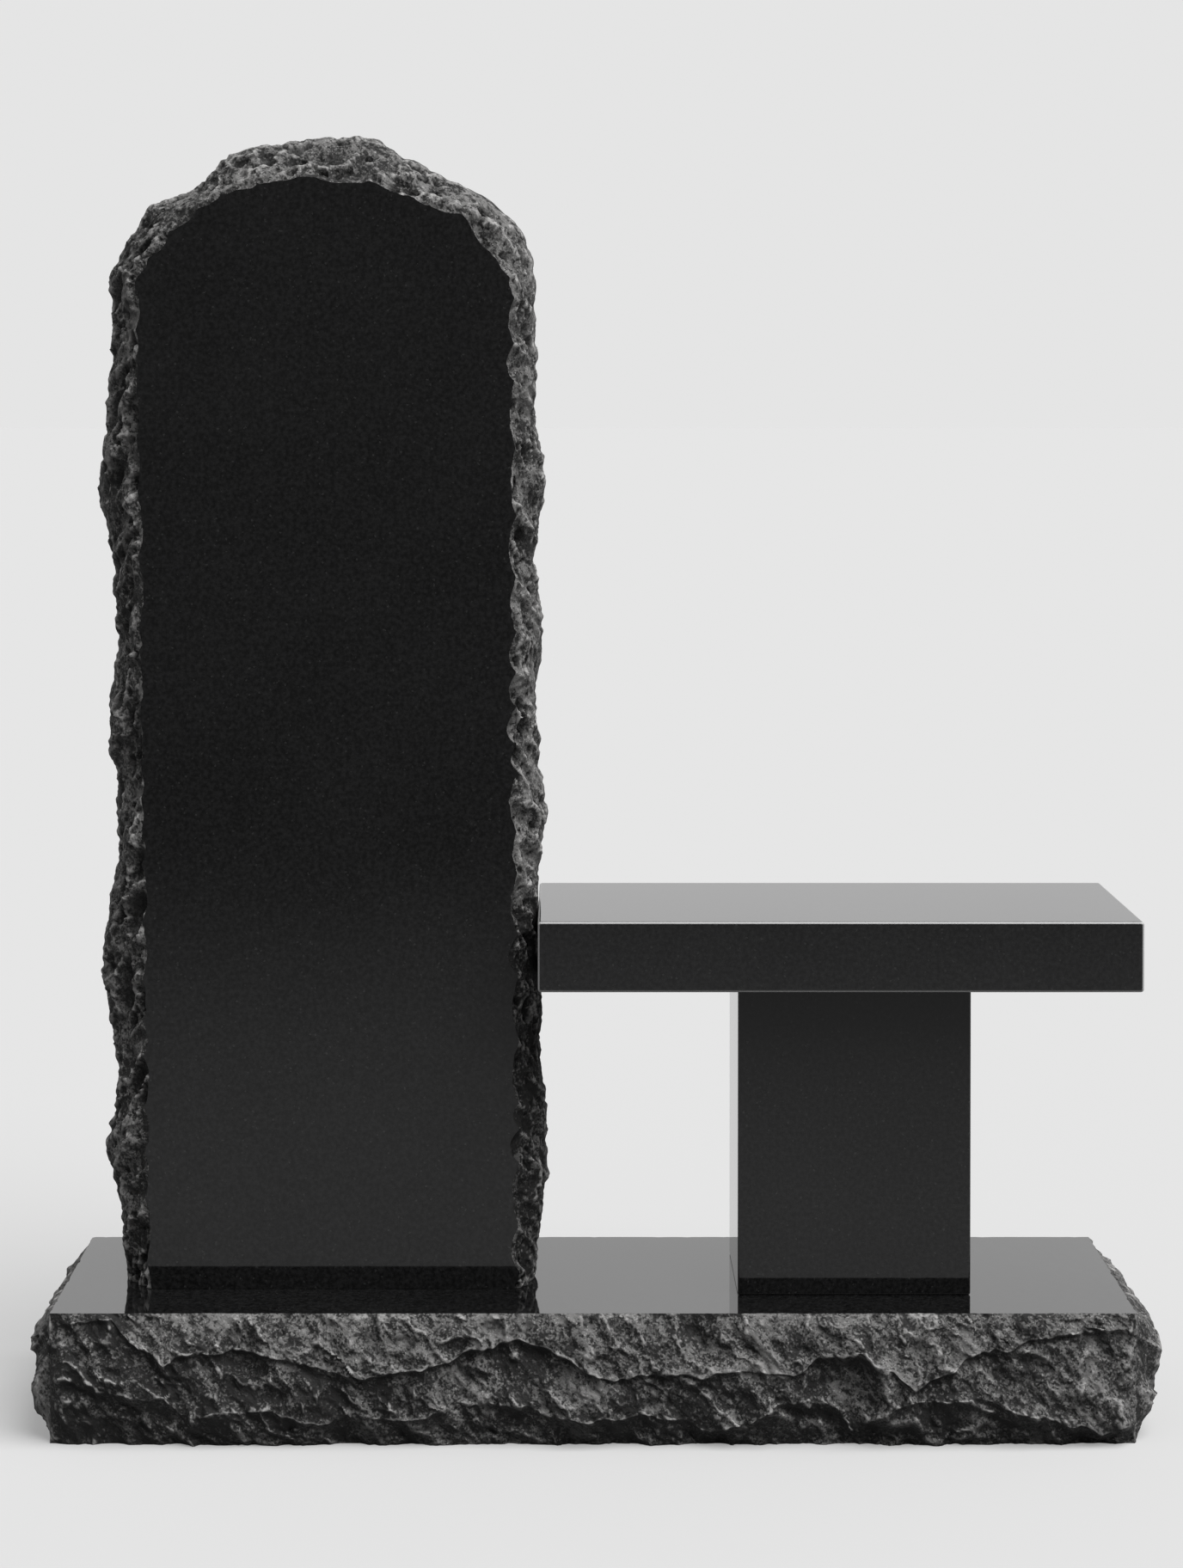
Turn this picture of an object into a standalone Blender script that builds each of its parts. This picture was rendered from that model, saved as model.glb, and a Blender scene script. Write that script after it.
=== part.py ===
"""A memorial bench in black granite, in metres, with +Z up and the front towards -Y.

A rock-pitched base carries an upright tablet on the left. A polished seat slab on one
pedestal stands to its right, and its left end butts against the tablet's dressed edge.
"""

import math
import random

import bmesh
import bpy
import numpy as np
from mathutils import Vector, noise

BED_GAP = 0.0003  # between two stones that bear on each other

# Base: a slab with a polished top and four rock-pitched sides
BASE_LENGTH = 1.25  # of the polished top
BASE_DEPTH = 0.36  # of the polished top
BASE_HEIGHT = 0.15
BASE_BULGE = 0.035  # how far the rock stands out past the polished top
BASE_FOOT = 0.12  # share of the bulge that is left at the ground
BASE_STATION = 0.017  # spacing of the points along a side
BASE_ZONE_BANDS = 3  # bands of faces in each of the zones that the two ridges part
BASE_ZONES = 3
CORNER_RUN = 0.018  # how fast the rock swells out from a corner's straight edge
RIDGE_STEP = 0.012  # least height from the lower ridge to the upper one
HIGH_RIDGE_REACH = 0.88  # how far a ridge stands out, in shares of the bulge, and its swing
HIGH_RIDGE_SWING = 0.20
LOW_RIDGE_REACH = 0.80
LOW_RIDGE_SWING = 0.25
RIDGE_SWING_LENGTH = 0.10  # length over which a ridge's reach swings
SHALLOW_RIDGE = 0.40  # a ridge nearer the top than this share of the height stands out less
STEP_UNDER_RIDGE = 0.42  # how sharply the rock steps back under the upper ridge
FLAKE_SLANT = 0.35  # sideways run of a flake for each metre of its height
FLAKES = {  # shortest and longest flake of a zone, and its depth in shares of the bulge
    "upper": (0.07, 0.13, 0.20),
    "middle": (0.05, 0.10, 0.15),
    "lower": (0.05, 0.09, 0.08),
}
SIDE_RIDGES = ((0.65, 0.13), (0.30, 0.10))  # height and swing of the ridges of other sides
SIDE_RIDGE_KNOTS = 12

# Tablet: an upright slab, polished front and back, pitched along its sides and arch
TABLET_MARGIN = 0.095  # from the left end of the polished top to the polished face
FACE_WIDTH = 0.438
FACE_SPRING = 1.196  # height at which the sides turn into the arch
FACE_RISE = 0.117  # height of the arch over the springing
TABLET_THICKNESS = 0.145
CROWN_DEPTH = 0.043  # from a polished face back to the widest part of the rock edge
CROWN_SWELL = 0.85  # below 1, the rock edge swells out fastest beside the polished face
SCALLOP_DEPTH = 0.0045  # how far a chisel flake bites into the polished face
SCALLOP_BELLY = 0.9  # how much deeper it is behind the face, in shares of that
SCALLOP_LENGTHS = (0.040, 0.075)
LUMP_HEIGHT = 0.004
LUMP_SIZE = 0.045
TABLET_STATION = 0.017
TABLET_STEPS = 4  # bands of faces from a polished face to the widest part

# Seat and pedestal: polished slabs with softened edges
SEAT_DEPTH = 0.325
SEAT_THICKNESS = 0.082
SEAT_END_REACH = 0.0277  # from the polished face's right edge out to the seat's end
SEAT_OVERHANG = 0.0105  # past the right end of the base's polished top
DRESSED_MARGIN = 0.022  # height above and below the seat that is dressed back with it
SEAT_EDGE = 0.004
PEDESTAL_WIDTH = 0.273
PEDESTAL_DEPTH = 0.20
PEDESTAL_HEIGHT = 0.366
PEDESTAL_SHIFT = 0.021  # to the right of the seat's middle
PEDESTAL_EDGE = 0.0025
EDGE_SEGMENTS = 3

# Ridge lines of the base's front: share of its length, share of its height
FRONT_UPPER_RIDGE = (
    (0.0, 0.90), (0.056, 0.93), (0.107, 0.68), (0.170, 0.75), (0.235, 0.66),
    (0.289, 0.56), (0.344, 0.62), (0.433, 0.82), (0.518, 0.55), (0.684, 0.58),
    (0.733, 0.71), (0.794, 0.44), (0.847, 0.62), (0.900, 0.78), (1.0, 0.86),
)
FRONT_LOWER_RIDGE = (
    (0.0, 0.52), (0.073, 0.42), (0.122, 0.26), (0.207, 0.30), (0.248, 0.16),
    (0.334, 0.21), (0.402, 0.35), (0.505, 0.21), (0.547, 0.28), (0.607, 0.12),
    (0.686, 0.38), (0.744, 0.14), (0.847, 0.40), (0.927, 0.22), (1.0, 0.30),
)

# Widest outline of the tablet's sides: share of the springing height, reach past the face
LEFT_CROWN = (
    (0.0, 0.030), (0.042, 0.032), (0.077, 0.039), (0.128, 0.052), (0.180, 0.041),
    (0.231, 0.042), (0.300, 0.056), (0.351, 0.050), (0.437, 0.036), (0.506, 0.041),
    (0.557, 0.050), (0.643, 0.033), (0.728, 0.043), (0.780, 0.054), (0.866, 0.043),
    (0.934, 0.033), (1.0, 0.038),
)
RIGHT_CROWN = (
    (0.0, 0.021), (0.060, 0.029), (0.103, 0.038), (0.171, 0.034), (0.231, 0.027),
    (0.265, 0.030), (0.370, 0.030), (0.403, 0.027), (0.463, 0.040), (0.506, 0.030),
    (0.583, 0.025), (0.651, 0.035), (0.720, 0.027), (0.797, 0.038), (0.866, 0.026),
    (0.900, 0.030), (0.934, 0.027), (1.0, 0.027),
)
# Arch of the polished face and of the widest outline, from left to right: share of half
# the face's width from its middle, share of the rise over the springing
FACE_ARCH = (
    (-1.03, 0.0), (-0.82, 0.49), (-0.66, 0.71), (-0.50, 0.865), (-0.15, 1.0),
    (0.27, 0.925), (0.54, 0.71), (0.73, 0.595), (0.845, 0.275), (0.985, 0.0),
)
CROWN_ARCH = (
    (-1.19, 0.12), (-1.05, 0.56), (-0.985, 0.75), (-0.784, 0.91), (-0.634, 1.08),
    (-0.554, 1.26), (-0.19, 1.39), (0.16, 1.44), (0.256, 1.43), (0.387, 1.24),
    (0.54, 1.08), (0.74, 0.91), (0.89, 0.73), (1.005, 0.56), (1.06, 0.34), (1.10, 0.12),
)
FACE_FOOT = (-0.976, 1.012)  # left and right foot of the face, as shares of half its width

MATERIALS = {
    "rock_pitched_granite": ((0.045, 0.045, 0.046), 0.85),
    "polished_granite": ((0.006, 0.006, 0.0065), 0.08),
}


def clear_scene():
    for thing in list(bpy.data.objects):
        bpy.data.objects.remove(thing)


def granite(name):
    colour, roughness = MATERIALS[name]
    made = bpy.data.materials.get(name)
    if made:
        return made
    made = bpy.data.materials.new(name)
    made.use_nodes = True
    shader = made.node_tree.nodes["Principled BSDF"]
    shader.inputs["Base Color"].default_value = (*colour, 1)
    shader.inputs["Roughness"].default_value = roughness
    shader.inputs["Metallic"].default_value = 0
    return made


def place(bm, name, material, collection, location=(0, 0, 0)):
    mesh = bpy.data.meshes.new(name)
    bm.to_mesh(mesh)
    bm.free()
    mesh.materials.append(granite(material))
    thing = bpy.data.objects.new(name, mesh)
    thing.location = location
    collection.objects.link(thing)
    return thing


def noise_at(points, scale, seed):
    """Smooth noise from -1 to 1 at each point of an (n, 3) array."""
    shift = Vector((seed * 7.3, seed * 3.1, seed * 5.7))
    return np.array([noise.noise(Vector(p) / scale + shift) for p in points])


def random_joints(length, shortest, longest, seed):
    """Places along a length where one chisel flake ends and the next begins."""
    draw = random.Random(seed)
    joints = [0.0]
    while joints[-1] < length:
        joints.append(joints[-1] + draw.uniform(shortest, longest))
    return np.array(joints)


def hollow(place_along, joints):
    """1 in the middle of each flake and 0 at its two ends, where a sharp ridge stands."""
    index = np.clip(np.searchsorted(joints, place_along) - 1, 0, len(joints) - 2)
    start, end = joints[index], joints[index + 1]
    middle = (2 * place_along - start - end) / (end - start)
    return np.clip(1 - middle**2, 0, 1)


def loft_block(stations, rings, surface):
    """A closed block: a round drum of that many sides and rings, drawn onto surface(i, k).

    Ring 0 and the last ring are flat faces, and the sides between them are the rock."""
    bm = bmesh.new()
    bmesh.ops.create_cone(
        bm, cap_ends=True, segments=stations, radius1=1, radius2=1, depth=2
    )
    uprights = [e for e in bm.edges if abs(e.verts[0].co.z - e.verts[1].co.z) > 1]
    bmesh.ops.subdivide_edges(bm, edges=uprights, cuts=rings - 2)
    drum = np.array([v.co for v in bm.verts])
    station = np.round(
        np.arctan2(drum[:, 1], drum[:, 0]) / math.tau * stations
    ).astype(int) % stations
    ring = np.round((drum[:, 2] + 1) / 2 * (rings - 1)).astype(int)
    places = surface(station, ring)
    for vert, co in zip(bm.verts, places):
        vert.co = co
    flats = [face for face in bm.faces if len(face.verts) > 4]
    bmesh.ops.poke(bm, faces=flats)
    bm.normal_update()
    bmesh.ops.recalc_face_normals(bm, faces=bm.faces)
    return bm


def wandering_ridge(seed, middle, swing):
    """A ridge line for a side other than the front: shares of its length and height."""
    draw = random.Random(seed)
    knots = SIDE_RIDGE_KNOTS
    return [(i / knots, middle + draw.uniform(-swing, swing)) for i in range(knots + 1)]


def ridge_heights(along, length, upper, lower):
    """Heights of the upper and the lower ridge at each place along a side."""
    share = along / length
    high = np.interp(share, *zip(*upper)) * BASE_HEIGHT
    low = np.interp(share, *zip(*lower)) * BASE_HEIGHT
    return high, np.minimum(low, high - RIDGE_STEP)


def rock_side(along, height, length, upper, lower, seed):
    """How far the rock stands out, in shares of the bulge, along one side of the base.

    It slopes out from the top to the upper ridge, steps back, comes out again to the lower
    ridge and turns under to the ground. Long hollow flakes slant across each zone."""
    high, low = ridge_heights(along, length, upper, lower)
    top = np.clip((BASE_HEIGHT - height) / (BASE_HEIGHT - high), 0, 1)
    middle = np.clip((high - height) / (high - low), 0, 1)
    foot = np.clip((low - height) / low, 0, 1)

    def swing(number):
        spot = np.stack([along, np.full_like(along, number), 0 * along], axis=1)
        return noise_at(spot, RIDGE_SWING_LENGTH, seed)

    def flakes(zone, number, share):
        shortest, longest, depth = FLAKES[zone]
        joints = random_joints(length * 1.1, shortest, longest, seed * 10 + number)
        hollows = hollow(along + FLAKE_SLANT * height, joints)
        return depth * np.sin(math.pi * share) * hollows

    shallow = (BASE_HEIGHT - high) / (SHALLOW_RIDGE * BASE_HEIGHT)
    high_reach = np.clip(shallow, 0.25, 1) * (HIGH_RIDGE_REACH + HIGH_RIDGE_SWING * swing(1))
    low_reach = LOW_RIDGE_REACH + LOW_RIDGE_SWING * swing(2)
    upper_zone = high_reach * top**0.8 - flakes("upper", 1, top)
    middle_zone = high_reach + (low_reach - high_reach) * middle
    middle_zone -= STEP_UNDER_RIDGE * np.sqrt(middle) * (1 - middle)
    middle_zone -= flakes("middle", 2, middle)
    lower_zone = low_reach + (BASE_FOOT - low_reach) * foot**0.8
    lower_zone -= flakes("lower", 3, foot)
    out = np.where(height > high, upper_zone, middle_zone)
    out = np.where(height < low, lower_zone, out)
    ends = np.minimum(along, length - along)
    return np.clip(out, 0, None) * (1 - np.exp(-ends / CORNER_RUN))


def build_base(collection):
    length, depth = BASE_LENGTH, BASE_DEPTH
    ridges = [(FRONT_UPPER_RIDGE, FRONT_LOWER_RIDGE)]
    upper, lower = SIDE_RIDGES
    for side in (1, 2, 3):
        ridges.append((wandering_ridge(side, *upper), wandering_ridge(-side, *lower)))
    corners = ((-1, -1), (1, -1), (1, 1), (-1, 1))
    runs = ((1, 0), (0, 1), (-1, 0), (0, -1))
    outs = ((0, -1), (1, 0), (0, 1), (-1, 0))
    sizes = (length, depth, length, depth)
    counts = [round(size / BASE_STATION) for size in sizes]
    side_of = np.repeat(np.arange(len(sizes)), counts)
    step_of = np.concatenate([np.arange(count) for count in counts])

    def surface(station, ring):
        places = np.zeros((len(station), 3))
        zone, band = np.divmod(ring, BASE_ZONE_BANDS)
        for side, size in enumerate(sizes):
            mine = side_of[station] == side
            along = step_of[station[mine]] * size / counts[side]
            high, low = ridge_heights(along, size, *ridges[side])
            levels = np.stack([0 * low, low, high, 0 * low + BASE_HEIGHT, 0 * low])
            column = np.arange(len(along))
            bottom, top = levels[zone[mine], column], levels[zone[mine] + 1, column]
            height = bottom + (top - bottom) * band[mine] / BASE_ZONE_BANDS
            stand = rock_side(along, height, size, *ridges[side], side + 1)
            stand *= BASE_BULGE / stand.max()
            start = np.array(corners[side]) * (length / 2, depth / 2)
            flat = start + np.outer(along, runs[side]) + np.outer(stand, outs[side])
            places[mine] = np.column_stack([flat, height])
        return places

    bm = loft_block(sum(counts), BASE_ZONES * BASE_ZONE_BANDS + 1, surface)
    return place(bm, "rock_pitched_base", "rock_pitched_granite", collection)


def path_length(corners):
    return np.linalg.norm(np.diff(np.array(corners), axis=0), axis=1).sum()


def even_points(corners, count):
    """That many points at even spacing along the straight runs between the corners."""
    corners = np.array(corners)
    runs = np.linalg.norm(np.diff(corners, axis=0), axis=1)
    along = np.concatenate([[0], np.cumsum(runs)])
    even = np.linspace(0, along[-1], count)
    return np.column_stack([np.interp(even, along, corners[:, k]) for k in (0, 1)])


def face_middle():
    return -BASE_LENGTH / 2 + TABLET_MARGIN + FACE_WIDTH / 2


def seat_box():
    """Left end, right end, underside and top of the seat.

    It runs from the tablet's dressed edge to just past the end of the base."""
    left = face_middle() + FACE_WIDTH / 2 + SEAT_END_REACH
    right = BASE_LENGTH / 2 + SEAT_OVERHANG
    under = BASE_HEIGHT + 2 * BED_GAP + PEDESTAL_HEIGHT
    return left, right, under, under + SEAT_THICKNESS


def tablet_outlines():
    """The polished face's outline and the widest outline, point for point, without the foot.

    Both run up the left side, over the arch and down the right side, with z from the bed."""
    half, middle = FACE_WIDTH / 2, face_middle()

    def from_shares(share, rise):
        return middle + share * half, FACE_SPRING + rise * FACE_RISE

    face_arch = [from_shares(*corner) for corner in FACE_ARCH]
    crown_arch = [from_shares(*corner) for corner in CROWN_ARCH]
    left_foot, right_foot = (middle + share * half for share in FACE_FOOT)
    face_left = [(left_foot, 0.0), face_arch[0]]
    face_right = [face_arch[-1], (right_foot, 0.0)]

    def side_crown(table, foot, spring, way):
        return [
            (foot + (spring[0] - foot) * share + way * reach, share * FACE_SPRING)
            for share, reach in table
        ]

    crown_left = side_crown(LEFT_CROWN, left_foot, face_arch[0], -1)
    crown_left.append(crown_arch[0])
    crown_right = side_crown(RIGHT_CROWN, right_foot, face_arch[-1], 1)
    crown_right.append(crown_arch[-1])
    stretches = (
        (face_left, crown_left), (face_arch, crown_arch), (face_right, crown_right[::-1])
    )
    face, crown = [], []
    for inner, outer in stretches:
        count = round(path_length(inner) / TABLET_STATION) + 1
        first = 1 if face else 0
        face.extend(even_points(inner, count)[first:])
        crown.extend(even_points(outer, count)[first:])
    return np.array(face), np.array(crown)


def build_tablet(collection):
    face, crown = tablet_outlines()
    runs = np.linalg.norm(np.diff(face, axis=0), axis=1)
    along = np.concatenate([[0], np.cumsum(runs)])
    outward = crown - face
    outward /= np.linalg.norm(outward, axis=1)[:, None]
    joints = random_joints(along[-1] + TABLET_THICKNESS, *SCALLOP_LENGTHS, seed=11)
    count = len(face)
    foot_count = round((face[-1, 0] - face[0, 0]) / TABLET_STATION / 2)
    steps = TABLET_STEPS
    depths = np.concatenate([
        np.linspace(0, CROWN_DEPTH, steps + 1),
        [TABLET_THICKNESS / 2],
        TABLET_THICKNESS - np.linspace(CROWN_DEPTH, 0, steps + 1),
    ])
    bed = BASE_HEIGHT + BED_GAP
    seat_left, _, seat_under, seat_top = seat_box()

    def edge_point(index, depth):
        """x and z on the rock edge at station index and that depth behind the front face."""
        near = np.minimum(depth, TABLET_THICKNESS - depth)
        share = np.clip(near / CROWN_DEPTH, 0, 1)
        flake = hollow(along[index] + FLAKE_SLANT * near, joints)
        bite = SCALLOP_DEPTH * flake * (1 + SCALLOP_BELLY * np.sin(math.pi * share))
        spot = np.column_stack([crown[index], depth])
        lump = LUMP_HEIGHT * noise_at(spot, LUMP_SIZE, 2) * share
        out = (crown[index] - face[index]) * (share**CROWN_SWELL)[:, None]
        return face[index] + out + outward[index] * (lump - bite)[:, None]

    def surface(station, ring):
        depth = depths[ring]
        rock = station < count
        places = np.zeros((len(station), 3))
        places[:, 1] = depth - TABLET_THICKNESS / 2
        flat = edge_point(np.where(rock, station, 0), depth)
        left = edge_point(np.zeros_like(station), depth)
        right = edge_point(np.full_like(station, count - 1), depth)
        share = (station - count + 1) / (foot_count + 1)
        under = right + (left - right) * share[:, None]
        flat = np.where(rock[:, None], flat, under)
        flat[:, 1] = np.where(rock & (station > 0) & (station < count - 1), flat[:, 1], 0)
        places[:, 0] = flat[:, 0]
        places[:, 2] = bed + flat[:, 1]
        beside_seat = (
            (places[:, 2] > seat_under - DRESSED_MARGIN)
            & (places[:, 2] < seat_top + DRESSED_MARGIN)
        )
        limit = np.where(beside_seat, seat_left - BED_GAP, math.inf)
        places[:, 0] = np.minimum(places[:, 0], limit)
        return places

    bm = loft_block(count + foot_count, len(depths), surface)
    return place(bm, "upright_tablet", "rock_pitched_granite", collection)


def softened_slab(name, low, high, edge, collection):
    """A polished slab between two corners, with its edges rounded."""
    low, high = Vector(low), Vector(high)
    bm = bmesh.new()
    bmesh.ops.create_cube(bm, size=1)
    bmesh.ops.scale(bm, vec=high - low, verts=bm.verts)
    slab = place(bm, name, "polished_granite", collection, (low + high) / 2)
    bevel = slab.modifiers.new("softened_edges", "BEVEL")
    bevel.width = edge
    bevel.segments = EDGE_SEGMENTS
    return slab


def build_seat(collection):
    left, right, under, top = seat_box()
    return softened_slab(
        "seat_slab",
        (left, -SEAT_DEPTH / 2, under),
        (right, SEAT_DEPTH / 2, top),
        SEAT_EDGE,
        collection,
    )


def build_pedestal(collection):
    left, right, under, _ = seat_box()
    middle = (left + right) / 2 + PEDESTAL_SHIFT
    return softened_slab(
        "pedestal",
        (middle - PEDESTAL_WIDTH / 2, -PEDESTAL_DEPTH / 2, BASE_HEIGHT + BED_GAP),
        (middle + PEDESTAL_WIDTH / 2, PEDESTAL_DEPTH / 2, under - BED_GAP),
        PEDESTAL_EDGE,
        collection,
    )


def main():
    clear_scene()
    bench = bpy.data.collections.new("memorial_bench")
    bpy.context.scene.collection.children.link(bench)
    build_base(bench)
    build_tablet(bench)
    build_seat(bench)
    build_pedestal(bench)


main()
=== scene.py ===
"""Looks of a granite memorial bench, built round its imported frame.

A rock-pitched base carries an upright tablet on the left. A polished seat slab on one
pedestal stands to its right. Metres, +Z up, and the front is towards -Y.
"""

import math
import random

import bmesh
import bpy
import numpy as np
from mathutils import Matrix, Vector


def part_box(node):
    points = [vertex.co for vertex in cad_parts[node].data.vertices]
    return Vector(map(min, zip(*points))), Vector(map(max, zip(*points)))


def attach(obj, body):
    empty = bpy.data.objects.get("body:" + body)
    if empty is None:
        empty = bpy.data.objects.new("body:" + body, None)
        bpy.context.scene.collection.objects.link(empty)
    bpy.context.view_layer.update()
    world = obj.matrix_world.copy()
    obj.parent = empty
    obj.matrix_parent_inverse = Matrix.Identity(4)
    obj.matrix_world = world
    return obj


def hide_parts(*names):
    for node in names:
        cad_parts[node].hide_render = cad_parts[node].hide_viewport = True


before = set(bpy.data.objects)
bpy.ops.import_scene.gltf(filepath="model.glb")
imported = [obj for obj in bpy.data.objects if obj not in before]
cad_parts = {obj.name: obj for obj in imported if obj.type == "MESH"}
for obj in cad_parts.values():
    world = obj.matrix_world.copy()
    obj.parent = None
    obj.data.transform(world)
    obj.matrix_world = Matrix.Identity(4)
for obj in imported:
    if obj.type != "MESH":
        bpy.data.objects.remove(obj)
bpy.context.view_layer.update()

bl_info = {
    "name": "Memorial Bench",
    "version": (1, 0, 0),
    "blender": (4, 5, 0),
    "location": "View3D > Sidebar > Bench",
    "description": "Builds the stones of a granite memorial bench and its stage",
    "category": "Object",
}

BODY = "root"
BED_GAP = 0.0003  # between two stones that bear on each other

BASE_LOW, BASE_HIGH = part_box("rock_pitched_base")
TABLET_LOW, TABLET_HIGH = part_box("upright_tablet")
SEAT_LOW, SEAT_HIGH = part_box("seat_slab")

# Rock: hollow scars of four sizes over fine grain, each by length, width and height
SCAR_TURN = math.radians(-48)  # the scars' long way runs down to the right
BASE_SCARS = (
    (0.085, 0.040, 0.017), (0.036, 0.018, 0.0110), (0.016, 0.009, 0.0058),
    (0.0085, 0.0055, 0.0028),
)
LEFT_SCARS = (
    (0.120, 0.030, 0.024), (0.052, 0.015, 0.0160), (0.018, 0.008, 0.0045),
    (0.0080, 0.0055, 0.0020),
)
RIGHT_SCARS = (
    (0.120, 0.030, 0.017), (0.052, 0.015, 0.0105), (0.018, 0.008, 0.0036),
    (0.0080, 0.0055, 0.0017),
)
FLAKE_TURN = math.radians(23)  # the tablet's scars run down as they run out
GRAIN = ((0.0095, 0.0010), (0.0048, 0.0009))  # size and height
WARP_SIZE = 0.030  # length over which the scars' outlines are bent
WARP_REACH = 0.010  # how far they are bent
SCAR_CURVE = 0.5  # how hollow a scar is
SCAR_TILT = 1.2
SCAR_STEP = 0.45  # how much deeper one scar may be than the next, in shares of its height
SMOOTHINGS = (3, 24)  # rounds that smooth away the fine and the broad relief
ARRIS_HEIGHT = 0.0006  # how far a full arris stands out from the rock close by
RIDGE_HEIGHT = 0.0025  # and from the rock farther round it
HOLLOW_DEPTH = 0.0035  # depth at which a hollow takes the full painted shade

# Base: columns of faces on its front, right, back and left, and rows between its ridges
FRONT_COLUMNS = (7, 100)  # the front is cut into this many parts, and each again
BACK_COLUMNS = (3, 100)
END_COLUMNS = (1, 100)
ZONE_ROWS = (22, 28, 25)
KNEE = 0.84  # share of the bulge past which the rock flattens, to stay inside it
CORNER_RUN = 0.018  # how fast the rock swells out from a corner's straight edge
CORNER_CHIP = 0.0025  # bites along a corner's edge
CORNER_CHIP_SIZE = 0.012
EDGE_CHIP = 0.0018  # bites along the polished top's edge
EDGE_CHIP_SIZE = 0.009
FOOT_SHARE = 0.12  # share of the bulge that is left at the ground
RIDGE_WANDERS = ((0.022, 0.0035), (0.007, 0.0013))  # length and height of a ridge's kinks
RIDGE_LIMITS = (0.3, 0.97)  # shares of the height that the upper ridge stays between
RIDGE_GAP = 0.09  # least share of the height between the two ridges
# How far a ridge swells out: share of the bulge, swing of that share and length of a swing
UPPER_SWELL = (0.78, 0.12, 0.10)
LOWER_SWELL = (0.70, 0.18, 0.09)
SHALLOW_SPAN = 0.38  # a ridge nearer the top than this share of the height swells less
SHALLOW_LEAST = 0.22
# Step back under a ridge: its depth, the height in which the rock steps back, how much the
# depth swings and the length of a swing
UPPER_STEP = (0.0070, 0.0030, 0.5, 0.06)
LOWER_STEP = (0.0045, 0.0075, 0.9, 0.05)
TOP_RUN = 0.004  # height under the polished top in which the relief sets in
CORNER_CRISP = 0.008  # length beside a corner in which it does so

# Ridge lines of the base's front: share of its length, share of its height
FRONT_UPPER_RIDGE = (
    (0.0, 0.90), (0.056, 0.965), (0.075, 0.79), (0.107, 0.675), (0.130, 0.70),
    (0.170, 0.752), (0.212, 0.71), (0.235, 0.665), (0.262, 0.59), (0.289, 0.560),
    (0.344, 0.618), (0.388, 0.73), (0.433, 0.815), (0.457, 0.75), (0.484, 0.645),
    (0.518, 0.542), (0.552, 0.558), (0.615, 0.575), (0.684, 0.585), (0.715, 0.705),
    (0.750, 0.705), (0.775, 0.60), (0.794, 0.440), (0.825, 0.60), (0.847, 0.69),
    (0.875, 0.755), (0.935, 0.87), (1.0, 0.86),
)
FRONT_LOWER_RIDGE = (
    (0.0, 0.52), (0.073, 0.420), (0.107, 0.375), (0.122, 0.262), (0.159, 0.262),
    (0.207, 0.302), (0.248, 0.163), (0.276, 0.262), (0.334, 0.210), (0.354, 0.262),
    (0.381, 0.335), (0.402, 0.348), (0.438, 0.348), (0.455, 0.262), (0.520, 0.215),
    (0.547, 0.275), (0.586, 0.215), (0.607, 0.118), (0.642, 0.190), (0.671, 0.350),
    (0.702, 0.380), (0.744, 0.200), (0.790, 0.365), (0.847, 0.395), (0.880, 0.32),
    (0.927, 0.212), (0.966, 0.118), (1.0, 0.20),
)
# Height of the upper and lower ridge at the four corners, from the front left one round
CORNER_LEVELS = ((0.90, 0.52), (0.86, 0.20), (0.72, 0.30), (0.70, 0.34))
SIDE_LEVELS = (0.66, 0.30)  # middle heights of the two ridges on the sides and the back
SIDE_KNOTS = 12  # points of a ridge line there
SIDE_SWING = 0.12  # how far these points lie above or below
# How much farther than usual the two ridges reach, on the front, right, back and left
SIDE_REACH = ((1.0, 1.0), (1.95, 1.0), (1.0, 1.0), (1.15, 1.0))

# Painted light and shade on the base's rock: lighter on its upper slope, which faces up to the
# light, and between its ridges by share of the side's length, as the light falls more from the
# right
UPPER_PAINTED_LIGHT = 0.31
MIDDLE_PAINTED_LIGHT_AND_SHADE = (
    (0.0, -0.30), (0.25, -0.22), (0.42, -0.02), (0.55, -0.10), (0.70, 0.08), (0.85, 0.06),
    (0.90, 0.22), (1.0, 0.22),
)
FRONT_END_PAINTED_SHADE = ((0.0, -0.65), (0.06, -0.55), (0.10, 0.0), (1.0, 0.0))  # painted shade added on the front's left end, which faces away from the light
# Painted shade on the foot, which turns down away from the light
FOOT_PAINTED_SHADE = -0.15
PAINTED_LIGHT_PATCHES = 0.036  # length of a patch of the painted light, which swings at random
PAINTED_LIGHT_SWING = 0.60  # how much one patch differs from the next

# Tablet: stations round its outline, and rows from its front face to its back
STATION = 0.0020  # length between two of them
FOOT_STATION = 0.020
FRONT_ROWS, MIDDLE_ROWS, BACK_ROWS = 24, 18, 20
CROWN_DEPTH = 0.043  # from a polished face back to the widest part of the rock edge
CROWN_SWELL = 0.85  # below 1, the rock swells out fastest beside the polished face
SLOPE_GIRTH = 0.055  # length of the rock from a polished face to the widest part
FACE_RISE = 0.117  # of the face's arch over its springing
FACE_SPRING = 1.196  # height of the springing over the bed
TABLET_MARGIN = 0.095  # from the end of the base's top to the face
SIDE_LEAN = ((0.0, 1), (0.41, 1), (0.59, -1), (1.0, -1))  # 1 on the left side, -1 on the right
ARCH_SPAN = (0.40, 0.43, 0.58, 0.61)  # where the arch's rock begins and ends round the edge
SCALLOP_DEPTHS = (0.0060, 0.0050, 0.0125)  # on the left side, the arch and the right side
SCALLOP_LEAST = 0.45  # depth of the shallowest, in shares of the deepest
SCALLOP_RUN = 0.6  # how far over the rock edge a scallop runs, in shares of it
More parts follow.
